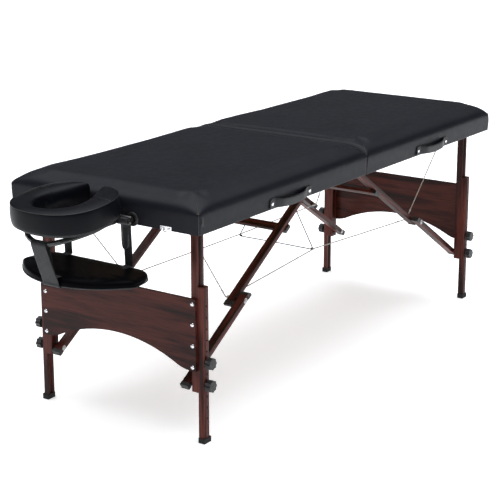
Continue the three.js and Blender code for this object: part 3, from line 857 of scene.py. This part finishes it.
def shelf_outline(count):
    """The shelf's edge seen from above, as points with z = 0."""
    spread = math.asin(SHELF_TIP_Y / SHELF_RADIUS)
    centre_x = SHELF_FRONT + SHELF_RADIUS
    tip = (centre_x - SHELF_RADIUS * math.cos(spread), SHELF_TIP_Y, 0)
    half = [Vector((SHELF_BACK, 0, 0)), Vector((SHELF_BACK, 150, 0))]
    half += bend((SHELF_BACK, 150, 0), (SHELF_BACK, 197, 0), (-985, 206, 0))
    half += bend((-1025, 213, 0), (-1048, 216, 0), tip)
    for i in range(1, 31):
        a = math.pi - spread * (1 - i / 30)
        half.append(Vector((centre_x + SHELF_RADIUS * math.cos(a), SHELF_RADIUS * math.sin(a), 0)))
    other = [Vector((p.x, -p.y, 0)) for p in reversed(half[:-1])]
    return resample(half + other, count + 1)[:-1]


def arm_shelf():
    count = 110
    edge = shelf_outline(count)
    centre = Vector((-1030, 0, 0))
    rings = []
    for share, z in SHELF_PROFILE:
        ring = []
        for point in edge:
            flat = centre.lerp(point, share)
            ring.append(at(flat.x, flat.y, z))
        rings.append(ring)
    shell = Shell().rings(rings)
    thing = piece("arm_shelf_pad", shell, SHELF_VINYL_PAINTED_SHADE, "cradle_mount", 80)
    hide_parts("arm_shelf")
    low = (SHELF_TOP - 19) * MM
    pins = [1.0 if v.co.z < low else 0.0 for v in thing.data.vertices]
    inflate(thing, 4, 3, pins, 16)
    place = Vector((1.2, 6.6, 2.1))
    displace(thing, lambda p: noise.noise(p * 14 + place) * 0.6)
    subdivide(thing)
    bead = Shell()
    rim = [at(p.x, p.y, 511.5) + (Vector((p.x, p.y, 0)) - centre).normalized() * -0.0012 for p in edge]
    bead.tube(rim, 1.9, 8, closed=True)
    piece("arm_shelf_bead", bead, SEAM_VINYL, "cradle_mount", 60)


arm_shelf()


def strap_line(points, y):
    return spline([at(x, y, z) for x, z in points], 6)


LEAD_STRAP = (
    (-1180.8, 641.5), (-1183.6, 648), (-1190, 650.8), (-1196.6, 648), (-1199.2, 641.5), (-1198, 634),
    (-1190, 612), (-1173, 568), (-1159, 534), (-1153.6, 520), (-1152.6, 512), (-1149, 507.6),
    (-1140, 506.8), (-1118, 506.8),
)
LEAD_INNER = (
    (-1181, 640), (-1180, 633), (-1177, 612), (-1168, 570), (-1158, 541), (-1152, 538), (-1138, 537.8),
)
lead_rows = strap_line(LEAD_STRAP, 0)
lead_widths = [56 + 6 * min(1.0, max(0.0, (0.65 - p.z) / 0.14)) for p in lead_rows]
lead = Shell().ribbon(lead_rows, (0, 1, 0), lead_widths, 1.9)
lead.ribbon(strap_line(LEAD_INNER, 0), (0, 1, 0), 55, 1.7)
lead_piece = piece("lead_strap", lead, STRAP, "cradle_mount", 50)
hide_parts("lead_shelf_strap")
SIDE_STRAP = (
    (-972.4, 672), (-972.4, 681), (-969.5, 683.6), (-962, 683.9), (-954.5, 683.6), (-951.4, 681),
    (-951.6, 672), (-951.4, 655), (-949, 600), (-946.5, 550), (-946.2, 539.5), (-951, 537.6),
    (-966, 537.4), (-982, 537.4),
)
for side_name, side in SIDES:
    line = strap_line(SIDE_STRAP, side * 116)
    band = Shell().ribbon(line, (0, 1, 0), 30, 1.9)
    strap_piece = piece(f"{side_name}_strap", band, STRAP, "cradle_mount", 50)
    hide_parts(f"{side_name}_shelf_strap")
sewn = Shell()
for y in (-24.5, 24.5):
    sewn.stitches([p + Vector((-0.001, 0, 0)) for p in strap_line(LEAD_STRAP[5:9], y)], 4, 2.6, 0.32)
for side_name, side in SIDES:
    for y in (-11.5, 11.5):
        row = strap_line(SIDE_STRAP[7:10], side * 116 + y)
        sewn.stitches([p + Vector((-0.001, 0, 0)) for p in row], 4, 2.6, 0.32)
piece("strap_stitches", sewn, THREAD, "cradle_mount", 60)

# ------------------------------------------------------------------ cradle fittings
ROD_Y = 119
ring_profile = ((-1.5, 21.5), (2.6, 21.5), (4.6, 20), (5.2, 17.5), (5.2, 12.2), (3.8, 10.4), (-1.5, 10))
sockets = Shell()
for side_name, side in SIDES:
    sockets.lathe(at(-HALF - 1.5, side * ROD_Y, ROD_Z), (-1, 0, 0), ring_profile, 32)
piece("cradle_sockets", sockets, CAP_PLASTIC, "head_panel", 40)
LEVER = ((-952, -94, 684), (-949, -94, 672), (-947.5, -95, 640), (-947, -96, 606), (-947, -99, 592),
         (-947, -107.5, 586), (-947, -116, 592), (-947, -119, 606), (-947.5, -120, 640),
         (-949, -121, 672), (-952, -121, 684))
lever = Shell().tube(spline([at(*p) for p in LEVER], 5), 4.4, 10)
lever_barrel = ((-2, 4), (-2, 7.5), (0, 8.5), (46, 8.5), (48, 7.5), (48, 4))
lever.lathe(at(-951.5, -132, 680), (0, 1, 0), lever_barrel, 20)
piece("tilt_lever", lever, BLACK_STEEL, "cradle_mount", 40)
pivots = Shell()
for side_name, side in SIDES:
    base = at(PIVOT_X, side * 132, ROD_Z)
    pivots.lathe(base, (0, side, 0), ((-0.5, 9), (1.2, 9), (1.2, 6), (4.4, 5.6), (5, 4.4)), 20)
piece("cradle_pivot_bolts", pivots, BLACK_STEEL, "cradle_mount", 40)

# ------------------------------------------------------------------ carrying handles
HANDLE_LENGTH = 229
HANDLE_TAB = 26
HANDLE_BOW = 14
HANDLE_SAG = 7
HANDLE_Z = 677.5
HANDLE_HEIGHT = 33
rivet_profile = ((-1, 5.6), (0.3, 6.4), (0.9, 6.4), (1.6, 5.4), (2.3, 3.6), (2.6, 1.8), (2.2, 0.8), (2.1, 0))
for end_name, end in ENDS:
    line, widths = [], []
    steps = 60
    for i in range(steps + 1):
        x = -HANDLE_LENGTH / 2 + HANDLE_LENGTH * i / steps
        free = HANDLE_LENGTH / 2 - HANDLE_TAB
        run = max(0.0, (free - abs(x)) / free)
        lift = math.sin(min(1.0, run * 2.2) * math.pi / 2)
        face = -HALF_WIDTH - 2.6 - HANDLE_BOW * lift * 0.86
        line.append(at(end * HANDLE_X + x, face, HANDLE_Z - HANDLE_SAG * math.sin(run * math.pi / 2)))
        widths.append(HANDLE_HEIGHT - 7 * min(1.0, run * 3.2) ** 0.7)
    for i, share in enumerate((0.82, 0.95)):
        widths[i] *= share
        widths[-1 - i] *= share
    grip = Shell().ribbon(line, (0, 0, 1), widths, 4.2)
    handle = piece(f"{end_name}_handle", grip, HANDLE_VINYL, f"{end_name}_panel",
                   50)
    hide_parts(f"{end_name}_carry_handle")
    thread = Shell()
    for drop in (-1, 1):
        row = [p + Vector((0, -0.0021, drop * (w / 2 - 3.2) * MM)) for p, w in zip(line, widths)][2:-2]
        thread.stitches(row, 4.2, 2.8, 0.34)
    piece(f"{end_name}_handle_stitches", thread, THREAD, f"{end_name}_panel",
          60)
    rivets = Shell()
    for place in (-1, 1):
        x = end * HANDLE_X + place * (HANDLE_LENGTH / 2 - 11)
        rivets.lathe(at(x, -HALF_WIDTH - 4.6, HANDLE_Z), (0, -1, 0), rivet_profile, 24)
    piece(f"{end_name}_handle_rivets", rivets, CHROME, f"{end_name}_panel",
          40)

# ------------------------------------------------------------------ corner tab, plain
tab = Shell()
tab_line = [at(-914, -HALF_WIDTH - 1.2 - 2.2 * math.sin(i * math.pi / 11), 683 + i * 3.1) for i in range(11)]
tab.ribbon(tab_line, (1, 0, 0), 11, 1.1)
piece("corner_tab", tab, STRAP, "head_panel", 50)

# ------------------------------------------------------------------ screws, bolts and caps
screw_profile = ((-1, 5.8), (0.2, 6.3), (0.9, 5.9), (1.9, 4.6), (2.5, 3.1), (2.6, 2.4), (1.2, 2.1), (1.2, 0))
BOARD_FACE = LEG_X + 15.5 + 0.3 + 10
BOARD_SCREWS_Z = (431, 368, 303, 237)
BOARD_SCREWS_Y = 286
for end_name, end in ENDS:
    screws = Shell()
    for side_name, side in SIDES:
        for z in BOARD_SCREWS_Z:
            screws.lathe(at(end * BOARD_FACE, side * BOARD_SCREWS_Y, z), (end, 0, 0), screw_profile)
    piece(f"{end_name}_board_screws", screws, CHROME, f"{end_name}_leg_frame",
          40)

    def on_upper(u, y, w, end=end):
        x = STRUT_TOP_X + u * math.cos(BRACE_ANGLE) + w * math.sin(BRACE_ANGLE)
        return at(end * x, y, PIVOT_Z - u * math.sin(BRACE_ANGLE) + w * math.cos(BRACE_ANGLE))

    def on_lower(u, y, w, end=end):
        x = LEG_X - u * math.cos(BRACE_ANGLE) - w * math.sin(BRACE_ANGLE)
        return at(end * x, y, BRACE_Z + u * math.sin(BRACE_ANGLE) - w * math.cos(BRACE_ANGLE))

    def prism(shell, place, outline, y0, y1):
        shell.rings([[place(u, y, w) for u, w in outline] for y in (y0, y1)])

    half = STRUT_DEPTH / 2
    proud = 0.9
    wide = half + proud

    def tip_outline(length):
        tip = length + KNEE_LAP
        return ((tip - 17, -wide), (tip - 9 + 0.4, -wide), (tip + proud, 9 - half - 0.4),
                (tip + proud, wide), (tip - 17, wide))

    upper_caps, lower_caps = Shell(), Shell()
    heel = ((-25 - proud, -wide), (-12, -wide), (-12, wide), (-25 - proud, wide))
    cross_low, cross_high = -half - 0.3 - 12 - proud, -half - 0.3 + 0.2
    cross = ((CROSSBAR_AT - 14 - proud, cross_low), (CROSSBAR_AT + 14 + proud, cross_low),
             (CROSSBAR_AT + 14 + proud, cross_high), (CROSSBAR_AT - 14 - proud, cross_high))
    for side_name, side in SIDES:
        for shell, place, outline, (y0, y1) in (
                (upper_caps, on_upper, tip_outline(UPPER_STRUT), UPPER_STRUT_Y),
                (lower_caps, on_lower, tip_outline(LOWER_STRUT), LOWER_STRUT_Y),
                (lower_caps, on_lower, heel, LOWER_STRUT_Y),
                (upper_caps, on_upper, cross, (224, 236))):
            prism(shell, place, outline, side * (y0 - proud), side * (y1 + proud))
    piece(f"{end_name}_upper_caps", upper_caps, CAP_PLASTIC,
          f"{end_name}_upper_struts", 30, 0.8)
    piece(f"{end_name}_lower_caps", lower_caps, CAP_PLASTIC,
          f"{end_name}_lower_struts", 30, 0.8)

    bolts_lower, bolts_upper = Shell(), Shell()
    bolt = ((-0.5, 8.5), (1, 8.5), (1.1, 6), (2, 5.9), (3.6, 5), (4.2, 3.4), (4.3, 2.3), (2.6, 2), (2.6, 0))
    nut = ((-0.5, 8), (1, 8), (1.05, 5.4), (4.6, 5.4), (5.2, 4.4), (5.2, 2.4), (7, 2.3), (7.2, 1.6))
    for side_name, side in SIDES:
        knee_outer = on_lower(LOWER_STRUT, side * LOWER_STRUT_Y[1], 0)
        knee_inner = on_upper(UPPER_STRUT, side * UPPER_STRUT_Y[0], 0)
        bolts_lower.lathe(knee_outer, (0, side, 0), bolt)
        bolts_lower.lathe(on_lower(0, side * LOWER_STRUT_Y[0], 0), (0, -side, 0), bolt)
        bolts_upper.lathe(knee_inner, (0, -side, 0), nut, 6)
        bolts_upper.lathe(on_upper(0, side * UPPER_STRUT_Y[1], 0), (0, side, 0), bolt)
        eye = [at(end * KNEE_X, side * KNEE_CORD_Y, KNEE_Z)
               + Vector((math.cos(a) * 5.2, 0, math.sin(a) * 5.2)) * MM
               for a in (2 * math.pi * k / 16 for k in range(16))]
        bolts_upper.tube(eye, 1.3, 8, closed=True)
    piece(f"{end_name}_lower_bolts", bolts_lower, STEEL,
          f"{end_name}_lower_struts", 35)
    piece(f"{end_name}_knee_fittings", bolts_upper, STEEL,
          f"{end_name}_upper_struts", 35)

    hinge_screws = Shell()
    for k in range(10):
        place = at(end * 10.5, -288 + 64 * k, PANEL_BOTTOM - 1.9)
        hinge_screws.lathe(place, (0, 0, -1), ((-0.5, 2.4), (0.2, 2.3), (0.6, 1.7), (0.3, 0.9), (0.3, 0)), 12)
    piece(f"{end_name}_hinge_screws", hinge_screws, STEEL,
          f"{end_name}_panel", 35)

KNOB_FACE_Y = 342.2
KNOB_HEIGHTS = (("upper", 251), ("lower", 181.6))
knob_relief = (
    (-1, 12.5), (0.15, 12.3), (0.28, 11), (0.12, 8), (0.12, 5.2), (0.28, 4.6), (0.28, 0),
)
for end_name, end in ENDS:
    for side_name, side in SIDES:
        for height, z in KNOB_HEIGHTS:
            disc = Shell().lathe(at(end * LEG_X, side * KNOB_FACE_Y, z), (0, side, 0), knob_relief, 28)
            tag = f"{end_name}_{side_name}_{height}_knob"
            piece(f"{tag}_face", disc, KNOB_PLASTIC, tag, 35)

# ------------------------------------------------------------------ bracing cords and elastic loop
CENTRE_CORNER = (157, 373)
CORD_RADIUS = 1.9


def slacken(thing):
    """Gives the piece a mesh of its own; nothing flattens it against the underside as the table folds."""
    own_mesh(thing)


corner_y, corner_z = CENTRE_CORNER
for end_name, end in ENDS:
    ferrules = Shell()
    for side_name, side in SIDES:
        y = side * KNEE_CORD_Y
        route = [(833, side * 225, 664), (765, side * 217, 585), (KNEE_X + 12, y, KNEE_Z + 5),
                 (KNEE_X, y, KNEE_Z), (KNEE_X - 14, y, KNEE_Z + 1), (280, side * 178, 365),
                 (12, side * (corner_y + 2), corner_z), (0, side * corner_y, corner_z)]
        line = []
        for a, b in zip(route, route[1:]):
            pieces_along = 8 if abs(a[0] - b[0]) > 40 else 2
            for k in range(pieces_along):
                line.append(at(end * a[0], *a[1:]).lerp(at(end * b[0], *b[1:]), k / pieces_along))
        line.append(at(0, *route[-1][1:]))
        cable = Shell().tube(line, CORD_RADIUS, 10)
        cable_piece = piece(f"{end_name}_{side_name}_cord", cable, CORD,
                            f"{end_name}_panel", 60)
        if end < 0:
            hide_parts(f"{side_name}_brace_cord")
        slacken(cable_piece)
        total = running_length(line)
        knee_at = next(t for t, p in zip(total, line) if abs(p.x - at(end * KNEE_X, 0, 0).x) < 1e-5)
        for mark in (0.006, knee_at - 0.05, knee_at + 0.045):
            spots = [along_line(line, total, mark + k * 0.0032) for k in range(6)]
            ferrules.tube(spots, [1.9, 2.7, 2.9, 2.9, 2.7, 1.9], 12)
    ferrule_piece = piece(f"{end_name}_ferrules", ferrules, FERRULE,
                          f"{end_name}_panel", 50)
    slacken(ferrule_piece)
    anchors = Shell()
    for side_name, side in SIDES:
        anchors.lathe(at(end * 836, side * 225.5, 668), (end * -0.1, 0, -1),
                      ((-6, 5), (-6, 7), (2, 7), (4, 5), (5.5, 2.8)), 16)
    piece(f"{end_name}_cord_anchors", anchors, STEEL, f"{end_name}_panel", 35)

inset = corner_y - 4.5
loop = [(-4, -6, 652), (-4, -6, 640), (-4, -inset, corner_z + 1), (-2, -inset + 6, corner_z - 4),
        (-2, 0, corner_z - 3), (-2, inset - 6, corner_z - 4), (-4, inset, corner_z + 1),
        (-4, 6, 640), (-4, 6, 652)]
loop_line = []
for a, b in zip(loop, loop[1:]):
    parts = 12 if (Vector(b) - Vector(a)).length > 40 else 2
    loop_line += [at(*a).lerp(at(*b), k / parts) for k in range(parts)]
loop_line.append(at(*loop[-1]))
elastic = Shell().tube(loop_line, 1.7, 10)
for side in (-1, 1):
    spots = [at(-2, side * (inset + 1.5 - 2 * k), corner_z - 1.5) for k in range(6)]
    elastic.tube(spots, [2.2, 3.2, 3.4, 3.4, 3.2, 2.2], 12)
elastic_piece = piece("centre_elastic", elastic, ELASTIC, "head_panel", 50)
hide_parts("elastic_loop")
slacken(elastic_piece)

# ------------------------------------------------------------------ latches
LATCH_Y = 240
for side_name, side in SIDES:
    plate = Shell()
    for offset in (-14, 14):
        plate.lathe(at(-HALF - 3.2, side * LATCH_Y + offset, 665), (-1, 0, 0),
                    ((-0.5, 3.4), (0.3, 3.4), (1, 2.6), (1.3, 1.2), (1.3, 0)), 16)
    hook = [at(-HALF - 5.4, side * LATCH_Y + y, z) for y, z in
            ((-7, 667), (-7, 661), (-5, 656.5), (0, 655), (5, 656.5), (7, 661), (7, 667))]
    plate.tube(spline(hook, 4), 1.5, 8)
    piece(f"{side_name}_latch_hook", plate, CHROME, f"{side_name}_latch", 40)

# ------------------------------------------------------------------ floor and light
floor_mesh = bpy.data.meshes.new("floor")
run, rise, curve = 14.0, 8.0, 3.0
profile = [(-run, 0.0), (run - curve, 0.0)]
profile += [(run - curve + curve * math.sin(a), curve * (1 - math.cos(a)))
            for a in (math.radians(step) for step in range(10, 91, 10))]
profile += [(run, rise)]
facing = Matrix.Rotation(yaw, 3, "Z")
sheet = [facing @ Vector((d, w, z - 0.0005)) for d, z in profile for w in (-16, 16)]
strips = [(2 * i, 2 * i + 1, 2 * i + 3, 2 * i + 2) for i in range(len(profile) - 1)]
floor_mesh.from_pydata([tuple(v) for v in sheet], [], strips)
floor_mesh.shade_smooth()
floor = bpy.data.objects.new("floor", floor_mesh)
scene.collection.objects.link(floor)
# The floor glows though it is no lamp: painted light that fills the table's shadow on the floor. Towards the
# top the backdrop grows darker and its glow fainter.
paper = Graph("studio_floor", Roughness=0.9, Specular_IOR_Level=0.1, Emission_Strength=0.45)
height_split = paper.add("ShaderNodeSeparateXYZ")
paper.feed(paper.place, height_split, "Vector")
climb = paper.spread(height_split.outputs["Z"], 0, 1, 0.0, 1.6)
paper.colour(paper.ramp(climb, (0.0, grey(0.9)), (0.35, grey(0.5)), (1.0, grey(0.09))))
glow = paper.ramp(climb, (0.0, grey(1.0)), (0.35, grey(0.4)), (1.0, grey(0.04)))
paper.feed(glow, paper.shader, "Emission Color")
floor_mesh.materials.append(paper.material)


def area_light(name, place, target, size, power):
    light = bpy.data.lights.new(name, "AREA")
    light.shape = "RECTANGLE"
    light.size, light.size_y = size
    light.energy = power
    thing = bpy.data.objects.new(name, light)
    thing.location = place
    thing.rotation_euler = (Vector(target) - Vector(place)).to_track_quat("-Z", "Y").to_euler()
    scene.collection.objects.link(thing)


area_light("front", (1.6, -4.6, 1.5), (0.2, 0, 0.5), (3.2, 1.6), 8.5)
area_light("left", (-4.4, -1.2, 2.4), (-0.4, 0, 0.5), (1.8, 1.4), 6)
world = bpy.data.worlds.new("studio")
world.use_nodes = True
sky = world.node_tree
around = sky.nodes.new("ShaderNodeTexCoord")
split = sky.nodes.new("ShaderNodeSeparateXYZ")
height = sky.nodes.new("ShaderNodeMapRange")
height.interpolation_type = "SMOOTHSTEP"
for key, value in (("From Min", 0.5), ("From Max", 1.0), ("To Min", 0.0), ("To Max", 3.4)):
    height.inputs[key].default_value = value
sky.links.new(around.outputs["Generated"], split.inputs[0])
sky.links.new(split.outputs["Z"], height.inputs["Value"])
sky.links.new(height.outputs["Result"], sky.nodes["Background"].inputs["Strength"])
sky.nodes["Background"].inputs["Color"].default_value = (0.93, 0.96, 1, 1)
scene.world = world
scene.view_settings.view_transform = "Standard"
